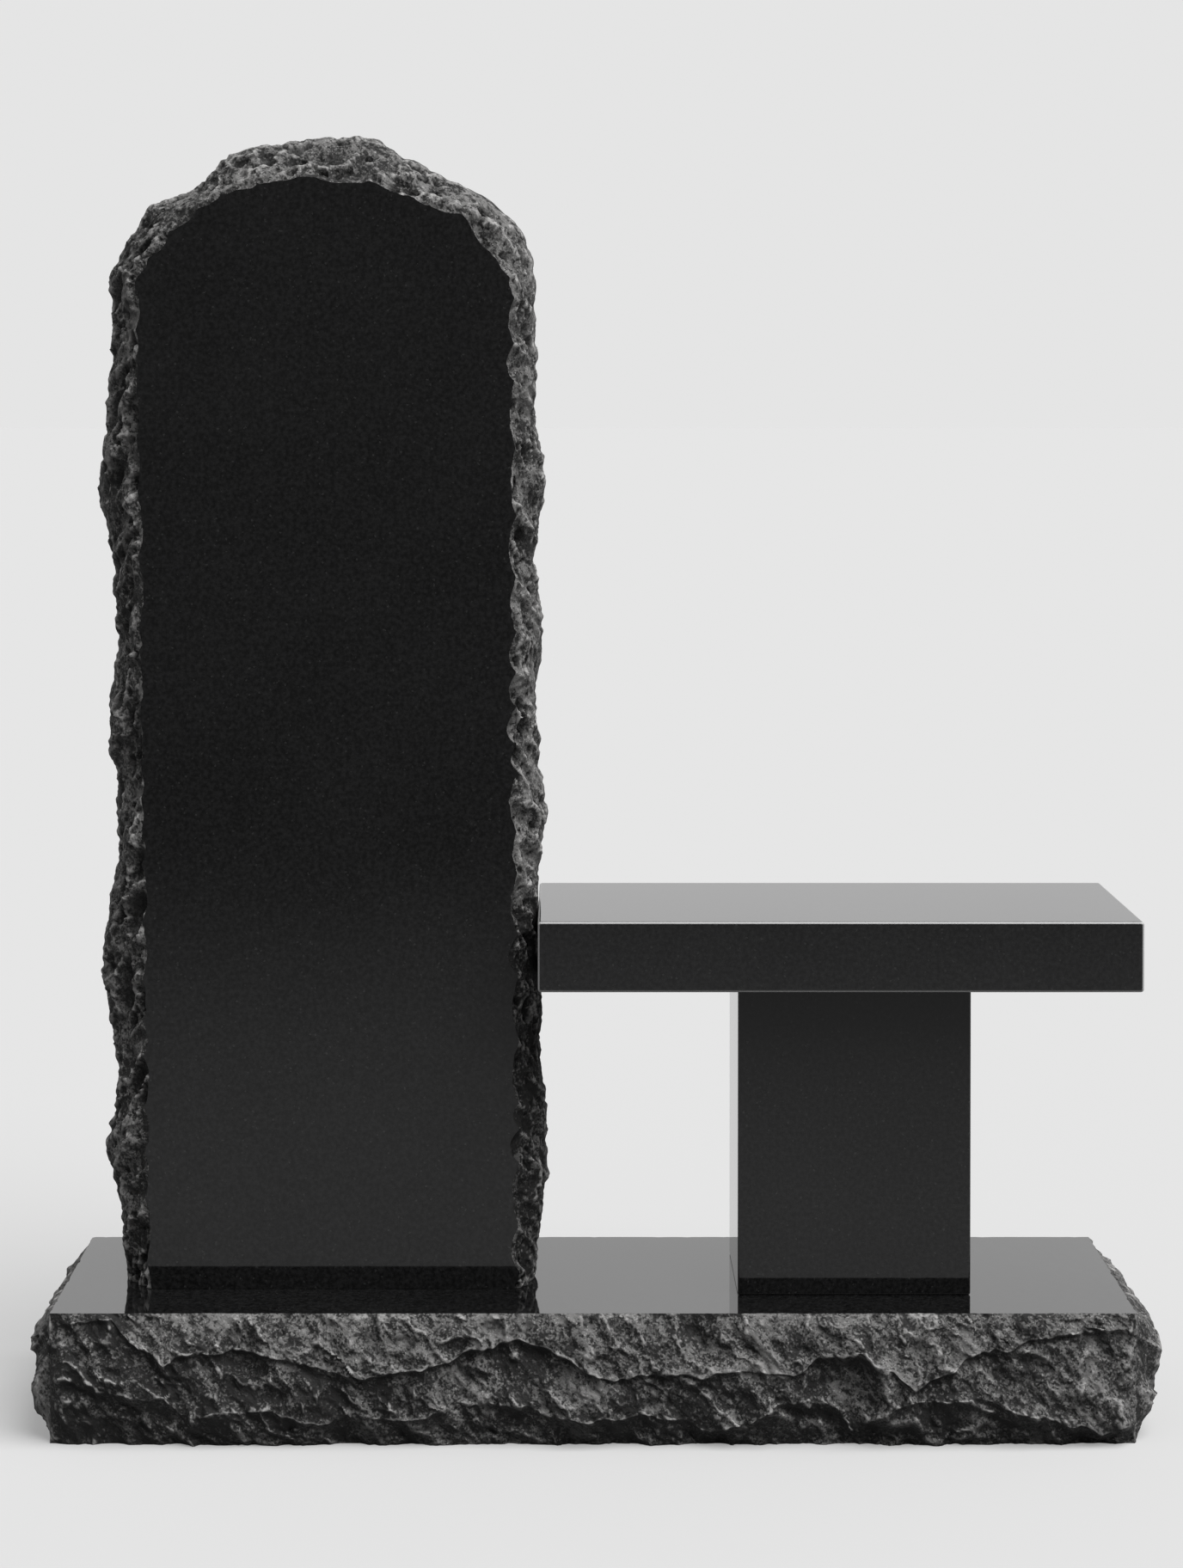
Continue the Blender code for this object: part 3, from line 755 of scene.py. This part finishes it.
    flat, lean_in, painted_pit_shade = rock_edge(index, depth, ring)
    ends = [rock_edge(np.full_like(index, k), depth, ring)[0] for k in (0, count - 1)]
    share = (station - count + 1) / (foot_count + 1)
    under = ends[1] + (ends[0] - ends[1]) * share[:, None]
    flat = np.where(rock[:, None], flat, under)
    on_bed = ~rock | (station == 0) | (station == count - 1)
    flat[:, 1] = np.where(on_bed, 0, np.maximum(flat[:, 1], 0.0004))
    flat[:, 1] *= (TABLET_HIGH.z - bed) / max(flat[:, 1].max(), TABLET_HIGH.z - bed)
    lean_in = np.where(on_bed, 0, lean_in)
    y = np.clip(depth + lean_in, 0, thickness) + TABLET_LOW.y
    inner = (ring > 0) & (ring < rings - 1)
    y = np.where(inner, np.clip(y, TABLET_LOW.y + 1e-4, TABLET_HIGH.y - 1e-4), y)
    places = np.column_stack([flat[:, 0], y, bed + flat[:, 1]])
    beside_seat = (
        (places[:, 2] > SEAT_LOW.z - DRESSED_MARGIN)
        & (places[:, 2] < SEAT_HIGH.z + DRESSED_MARGIN)
    )
    limit = np.where(beside_seat, SEAT_LOW.x - BED_GAP, math.inf)
    places[:, 0] = np.minimum(places[:, 0], limit)
    move_points(tablet, places)
    bpy.ops.object.mode_set(mode="EDIT")
    bpy.ops.mesh.select_all(action="SELECT")
    bpy.ops.mesh.normals_make_consistent(inside=False)
    bpy.ops.object.mode_set(mode="OBJECT")
    # Painted light round the edge, with the seat's painted shadow below its end, in random
    # patches
    painted_light_and_shade = np.interp(along[index] / along[-1], *zip(*TABLET_PAINTED_LIGHT_AND_SHADE))
    spots = np.column_stack([along[index], girths[ring]])
    painted_light_and_shade = painted_light_and_shade + PAINTED_LIGHT_SWING * waves(spots, PAINTED_LIGHT_PATCHES, 740)
    store_wear_and_painted_light(tablet, painted_light_and_shade, np.where(rock, painted_pit_shade, 0))
    rock = rock_granite("tablet", 1.3, contrast=1.1, crushing=0.7)
    for material in (rock, polished_granite(), sawn_granite()):
        tablet.data.materials.append(material)
    front, rear = TABLET_LOW.y + 1e-5, TABLET_HIGH.y - 1e-5
    close_flats(tablet, ((1, lambda co: co.y < front), (1, lambda co: co.y > rear)))
    finish_piece(tablet, "upright_tablet", math.radians(38))


# Seat and pedestal
def build_slab(node, name, edge, finish):
    """A polished slab with rounded edges, in a frame node's box."""
    low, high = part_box(node)
    deselect_all()
    bpy.ops.mesh.primitive_cube_add(size=1, location=(low + high) / 2, scale=high - low)
    slab = bpy.context.object
    slab.name = name
    bpy.ops.object.transform_apply(location=True, rotation=False, scale=True)
    bevel = slab.modifiers.new("rounded_edges", "BEVEL")
    bevel.width = edge
    bevel.segments = EDGE_ROWS
    bevel.harden_normals = True
    bpy.ops.object.shade_smooth()
    bpy.ops.object.modifier_apply(modifier=bevel.name)
    # Painted glint: a mask of the rounded edges, whose pale colour stands in for their highlight
    normals = np.array([point.normal for point in slab.data.vertices])
    steepest = np.abs(normals).max(axis=1)
    layer = slab.data.attributes.new("painted_edge_glint", "FLOAT", "POINT")
    layer.data.foreach_set("value", np.clip((0.95 - steepest) / 0.14, 0, 1).astype(np.float32))
    slab.data.materials.append(polished_granite(finish))
    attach(slab, BODY)
    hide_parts(node)


# Materials
class Flow:
    """One output socket of a node tree, for use in Python sums."""

    def __init__(self, tree, socket):
        self.tree, self.socket = tree, socket

    def math(self, operation, *values):
        settings = {"operation": operation}
        return add_node(self.tree, "ShaderNodeMath", settings, dict(enumerate(values)))

    def __add__(self, other):
        return self.math("ADD", self, other)

    def __sub__(self, other):
        return self.math("SUBTRACT", self, other)

    def __rsub__(self, other):
        return self.math("SUBTRACT", other, self)

    def __mul__(self, other):
        return self.math("MULTIPLY", self, other)

    __radd__ = __add__
    __rmul__ = __mul__


def add_node(tree, kind, settings=None, values=None, output=0):
    """Adds a node, gives it its settings, then the values or links of its sockets."""
    node = tree.nodes.new(kind)
    for name, value in (settings or {}).items():
        setattr(node, name, value)
    for name, value in (values or {}).items():
        socket = node.inputs[name]
        if isinstance(value, Flow):
            tree.links.new(value.socket, socket)
        else:
            socket.default_value = value
    return Flow(tree, node.outputs[output])


def new_material(name):
    """An empty material, its node tree and its Principled shader."""
    material = bpy.data.materials.new(name)
    material.use_nodes = True
    return material, material.node_tree, material.node_tree.nodes["Principled BSDF"]


def object_place(tree):
    return add_node(tree, "ShaderNodeTexCoord", output="Object")


def noise(tree, place, scale, detail=2.0, roughness=0.5):
    values = {"Vector": place, "Scale": scale, "Detail": detail, "Roughness": roughness}
    return add_node(tree, "ShaderNodeTexNoise", None, values)


def crystals(tree, place, scale):
    """A grey from 0 to 1 for each crystal."""
    values = {"Vector": place, "Scale": scale}
    colour = add_node(tree, "ShaderNodeTexVoronoi", None, values, "Color")
    return add_node(tree, "ShaderNodeSeparateColor", None, {"Color": colour})


def between(tree, value, low, high):
    """0 below the low value and 1 above the high one, smooth between them."""
    settings = {"interpolation_type": "SMOOTHSTEP"}
    values = {"Value": value, "From Min": low, "From Max": high}
    return add_node(tree, "ShaderNodeMapRange", settings, values)


def attribute(tree, name):
    return add_node(tree, "ShaderNodeAttribute", {"attribute_name": name}, None, "Fac")


def mix(tree, share, one, two):
    """A colour between two others."""
    settings = {"data_type": "RGBA"}
    values = {0: share, 6: one, 7: two}
    return add_node(tree, "ShaderNodeMix", settings, values, 2)


def grey(level, warmth=0.0):
    return (level * (1 + warmth), level, level * (1 - warmth), 1.0)


def ray_is(tree, kind):
    return add_node(tree, "ShaderNodeLightPath", output=f"Is {kind} Ray")


def feed(tree, shader, name, flow):
    tree.links.new(flow.socket, shader.inputs[name])


def rock_granite(stone, streak_turn, contrast, crushing):
    """Broken granite, with streaks at that angle, lighter where its painted light is high, and
    painted shade in hollows, pits and on rock that turns down.
    """
    name = f"broken_granite_of_{stone}"
    look = bpy.context.scene.memorial_bench.looks
    material, tree, shader = new_material(name)
    place = object_place(tree)
    streaks = add_node(
        tree, "ShaderNodeMapping", {"vector_type": "TEXTURE"},
        {"Vector": place, "Rotation": (0, streak_turn, 0), "Scale": (2.2, 1, 1)},
    )
    grain = noise(tree, place, 240.0, 4.0, 0.65)
    streak = noise(tree, streaks, 150.0, 4.0, 0.65)
    crystal = crystals(tree, place, 420.0)
    fleck = crystals(tree, place, 900.0)
    patch = noise(tree, streaks, 42.0, 4.0, 0.6)
    bend = add_node(
        tree, "ShaderNodeTexNoise", None, {"Vector": place, "Scale": 70.0, "Detail": 2.0}, "Color"
    )
    bent = add_node(
        tree, "ShaderNodeVectorMath", {"operation": "MULTIPLY_ADD"},
        {0: bend, 1: (0.016, 0.016, 0.016), 2: streaks},
    )
    chip = add_node(
        tree, "ShaderNodeTexVoronoi", None, {"Vector": bent, "Scale": 120.0}, "Distance"
    )
    tone = (grain - 0.5) * 1.7 + (streak - 0.5) * 2.2 + (patch - 0.5) * 2.6
    # The painted light lightens the rock where it faces the light and darkens it where it faces
    # away or lies in the seat's shadow
    tone = (tone + (crystal - 0.5) * 0.8) * contrast + attribute(tree, "painted_light_and_shade") * 0.42
    tone = between(tree, tone + 0.27, -0.05, 0.95)
    colour = mix(tree, tone, (*look.rock_dark, 1), (*look.rock_light, 1))
    spark = between(tree, fleck, 0.93, 0.97) * 0.5 * tone
    breaks = between(tree, noise(tree, place, 160.0, 3.0, 0.6), 0.36, 0.60)
    arris = between(tree, attribute(tree, "arris"), 0.15, 0.85) * breaks
    crushed = (*look.crushed_edge, 1)
    colour = mix(tree, spark, colour, crushed)
    colour = mix(tree, arris * crushing, colour, crushed)
    # Painted shade: darker in hollows and pits and on rock that turns down
    shade = (1 - attribute(tree, "hollow") * 0.72) * (1 - attribute(tree, "under") * 0.68)
    colour = mix(tree, shade, grey(0.004), colour)
    feed(tree, shader, "Base Color", colour)
    shader.inputs["Roughness"].default_value = 0.8
    shader.inputs["Specular IOR Level"].default_value = 0.3
    height = grain * 0.45 + streak * 0.4 + crystal * 0.3 + chip * 0.7
    bump = add_node(
        tree, "ShaderNodeBump", None, {"Strength": 1.0, "Distance": 0.0026, "Height": height}
    )
    feed(tree, shader, "Normal", bump)
    return material


def polished_granite(finish="mirror"):
    """Polished granite. The seat's lightened copy is paler, as painted light, and has a painted
    glint on its rounded edges.
    """
    name = f"polished_granite_{finish}"
    if name in bpy.data.materials:
        return bpy.data.materials[name]
    look = bpy.context.scene.memorial_bench.looks
    span = LIGHTENED_POLISH_SPAN if finish == "soft" else MIRROR_POLISH_SPAN
    material, tree, shader = new_material(name)
    place = object_place(tree)
    mottle = noise(tree, place, 210.0, 4.0, 0.65)
    cloud = noise(tree, place, 7.0, 3.0, 0.5)
    tone = between(tree, mottle, 0.30, 0.75) + (cloud - 0.5) * 0.5
    dark, light = ((*(level * c for c in look.polished), 1) for level in span)
    colour = mix(tree, tone, dark, light)
    fleck = between(tree, crystals(tree, place, 520.0), 0.985, 0.997)
    colour = mix(tree, fleck * 0.35, colour, grey(0.05))
    roughness = 0.035 + mottle * 0.03
    # Painted glint: the seat's rounded edges turn pale, and rougher
    if finish == "soft":
        edge_glint = attribute(tree, "painted_edge_glint")
        colour = mix(tree, edge_glint, colour, (*look.painted_edge_glint, 1))
        roughness = roughness + edge_glint * 0.4
    feed(tree, shader, "Base Color", colour)
    feed(tree, shader, "Roughness", roughness)
    shader.inputs["IOR"].default_value = 1.5
    return material


def sawn_granite():
    name = "sawn_granite_underside"
    if name in bpy.data.materials:
        return bpy.data.materials[name]
    material, tree, shader = new_material(name)
    place = object_place(tree)
    stripe = add_node(
        tree, "ShaderNodeTexWave", {"bands_direction": "X"},
        {"Vector": place, "Scale": 60.0, "Distortion": 1.5, "Detail": 2.0},
    )
    grain = noise(tree, place, 300.0, 4.0, 0.6)
    colour = mix(tree, grain * 0.7 + stripe * 0.3, grey(0.03), grey(0.08))
    feed(tree, shader, "Base Color", colour)
    shader.inputs["Roughness"].default_value = 0.6
    return material


# Stage
def build_floor(look):
    deselect_all()
    bpy.ops.mesh.primitive_plane_add(size=FLOOR_SIZE, location=(0, 0, 0))
    floor = bpy.context.object
    floor.name = "pale_floor"
    material, tree, shader = new_material("pale_floor")
    place = object_place(tree)
    front = -1 * add_node(tree, "ShaderNodeSeparateXYZ", None, {"Vector": place}, "Y")
    glossy, diffuse, camera = (ray_is(tree, k) for k in ("Glossy", "Diffuse", "Camera"))
    near, far = (between(tree, front, *dim[1:]) * dim[0] for dim in (NEAR_DIM, FAR_DIM))
    dim = glossy * (near + far) + diffuse * FLOOR_BOUNCE_LOSS
    colour = mix(tree, dim, grey(look.floor_tone), grey(0.0))
    feed(tree, shader, "Base Color", colour)
    shader.inputs["Roughness"].default_value = 1.0
    shader.inputs["Specular IOR Level"].default_value = 0.0
    glow = add_node(
        tree, "ShaderNodeEmission", None, {"Color": grey(1.0), "Strength": look.backdrop}
    )
    own = Flow(tree, shader.outputs["BSDF"])
    seen = add_node(
        tree, "ShaderNodeMixShader", None, {0: camera * FLOOR_GLOW, 1: own, 2: glow}
    )
    tree.links.new(seen.socket, tree.nodes["Material Output"].inputs["Surface"])
    floor.data.materials.append(material)


def build_light(look):
    deselect_all()
    way = Vector(look.key_way)
    bpy.ops.object.light_add(type="SUN", location=way)
    key = bpy.context.object
    key.name = "soft_key"
    key.rotation_euler = way.to_track_quat("Z", "Y").to_euler()
    key.data.energy = look.key_strength
    key.data.angle = look.key_softness

    world = bpy.data.worlds.new("studio")
    bpy.context.scene.world = world
    world.use_nodes = True
    tree = world.node_tree
    way = add_node(tree, "ShaderNodeTexCoord", output="Generated")
    y = add_node(tree, "ShaderNodeSeparateXYZ", None, {"Vector": way}, "Y")
    up = add_node(tree, "ShaderNodeSeparateXYZ", None, {"Vector": way}, "Z")
    camera, glossy = ray_is(tree, "Camera"), ray_is(tree, "Glossy")
    behind = between(tree, y, -0.85, 0.1)
    above = between(tree, up, 0.0, 0.35)
    mirrored = MIRROR_FRONT + behind * (MIRROR_BEHIND + above * MIRROR_ABOVE)
    fill = (FILL_LOW + between(tree, up, 0.0, 1.0) * FILL_RISE) * look.fill_strength
    level = fill * (1 - glossy) + mirrored * glossy
    level = level * (1 - camera) + look.backdrop * camera
    background = tree.nodes["Background"]
    background.inputs["Color"].default_value = grey(1.0)
    feed(tree, background, "Strength", level)


def build_camera():
    deselect_all()
    bpy.ops.object.camera_add(
        location=CAMERA_PLACE, rotation=(math.pi / 2 - CAMERA_PITCH, 0, 0)
    )
    camera = bpy.context.object
    camera.data.lens = LENS
    camera.data.sensor_width = 36
    camera.data.shift_x, camera.data.shift_y = SHIFT
    camera.data.clip_end = FLOOR_SIZE
    bpy.context.scene.camera = camera


# Add-on
def length_setting(name, description, default):
    return bpy.props.FloatProperty(
        name=name, description=description, default=default, unit="LENGTH"
    )


def colour_setting(name, description, default):
    return bpy.props.FloatVectorProperty(
        name=name, description=description, default=default, subtype="COLOR"
    )


class BenchSizes(bpy.types.PropertyGroup):
    top_length: length_setting("Top length", "Length of the base's polished top", 1.25)
    top_depth: length_setting("Top depth", "Depth of the base's polished top", 0.36)
    face_width: length_setting("Face width", "Width of the tablet's polished face", 0.438)
    seat_edge: length_setting("Seat edge", "Rounding of the seat's edges", 0.004)
    pedestal_edge: length_setting("Pedestal edge", "Rounding of the pedestal's edges", 0.0025)


class BenchLooks(bpy.types.PropertyGroup):
    rock_dark: colour_setting(
        "Dark crystals", "Darkest colour of the broken granite", (0.008, 0.0078, 0.0076)
    )
    rock_light: colour_setting(
        "Light crystals", "Lightest colour of the broken granite", (0.130, 0.128, 0.126)
    )
    crushed_edge: colour_setting(
        "Crushed edges", "Colour of the crushed crystals along the ridges", (0.36, 0.355, 0.35)
    )
    polished: colour_setting(
        "Polished granite", "Colour of the polished granite under its gloss",
        (0.0060, 0.0060, 0.0061),
    )
    # Painted glint: a pale colour on the seat's rounded edges that stands in for their highlight
    painted_edge_glint: colour_setting(
        "Ground edges", "Colour of the seat's edges, where the polish stops", (0.31, 0.31, 0.31)
    )
    floor_tone: bpy.props.FloatProperty(
        name="Floor", description="Grey of the floor", default=0.45, min=0, max=1,
    )
    backdrop: bpy.props.FloatProperty(
        name="Backdrop", description="Brightness behind the bench", default=0.783, min=0,
    )
    fill_strength: bpy.props.FloatProperty(
        name="Fill light", description="Brightness of the light from all round",
        default=0.42, min=0,
    )
    key_strength: bpy.props.FloatProperty(
        name="Key light", description="Strength of the soft key light", default=5.0, min=0,
    )
    key_softness: bpy.props.FloatProperty(
        name="Key softness", description="Width of the key light in the sky",
        default=math.radians(55), subtype="ANGLE",
    )
    key_way: bpy.props.FloatVectorProperty(
        name="Key direction", description="Way from the bench to the key light",
        default=(0.86, -0.62, 1.6), subtype="DIRECTION",
    )


class MemorialBench(bpy.types.PropertyGroup):
    sizes: bpy.props.PointerProperty(type=BenchSizes)
    looks: bpy.props.PointerProperty(type=BenchLooks)


class BENCH_OT_base(bpy.types.Operator):
    """Build the rock-pitched base"""

    bl_idname = "memorial_bench.base"
    bl_label = "Base"

    def execute(self, context):
        build_base(context.scene.memorial_bench.sizes)
        return {"FINISHED"}


class BENCH_OT_tablet(bpy.types.Operator):
    """Build the upright tablet"""

    bl_idname = "memorial_bench.tablet"
    bl_label = "Tablet"

    def execute(self, context):
        build_tablet(context.scene.memorial_bench.sizes)
        return {"FINISHED"}


class BENCH_OT_slabs(bpy.types.Operator):
    """Build the polished seat and its pedestal"""

    bl_idname = "memorial_bench.slabs"
    bl_label = "Seat and Pedestal"

    def execute(self, context):
        sizes = context.scene.memorial_bench.sizes
        # The seat takes the lightened polished granite, which is painted light, with a painted
        # glint on its rounded edges
        build_slab("seat_slab", "seat_slab_polished", sizes.seat_edge, "soft")
        build_slab("pedestal", "pedestal_polished", sizes.pedestal_edge, "mirror")
        return {"FINISHED"}


class BENCH_OT_stage(bpy.types.Operator):
    """Lay the floor and set the lights and the camera"""

    bl_idname = "memorial_bench.stage"
    bl_label = "Stage"

    def execute(self, context):
        look = context.scene.memorial_bench.looks
        build_floor(look)
        build_light(look)
        build_camera()
        return {"FINISHED"}


class BENCH_PT_panel(bpy.types.Panel):
    bl_label = "Memorial Bench"
    bl_idname = "BENCH_PT_panel"
    bl_space_type = "VIEW_3D"
    bl_region_type = "UI"
    bl_category = "Bench"

    def draw(self, context):
        bench = context.scene.memorial_bench
        for group in (bench.sizes, bench.looks):
            for name in group.bl_rna.properties.keys():
                if name not in ("rna_type", "name"):
                    self.layout.prop(group, name)
        for operator in OPERATORS:
            self.layout.operator(operator.bl_idname)


OPERATORS = (BENCH_OT_base, BENCH_OT_tablet, BENCH_OT_slabs, BENCH_OT_stage)
CLASSES = (BenchSizes, BenchLooks, MemorialBench, *OPERATORS, BENCH_PT_panel)


def register():
    for cls in CLASSES:
        bpy.utils.register_class(cls)
    bpy.types.Scene.memorial_bench = bpy.props.PointerProperty(type=MemorialBench)


def unregister():
    del bpy.types.Scene.memorial_bench
    for cls in reversed(CLASSES):
        bpy.utils.unregister_class(cls)


def main():
    register()
    bpy.ops.memorial_bench.base()
    bpy.ops.memorial_bench.tablet()
    bpy.ops.memorial_bench.slabs()
    bpy.ops.memorial_bench.stage()
    bpy.context.scene.view_settings.view_transform = "Standard"


if __name__ == "__main__":
    main()
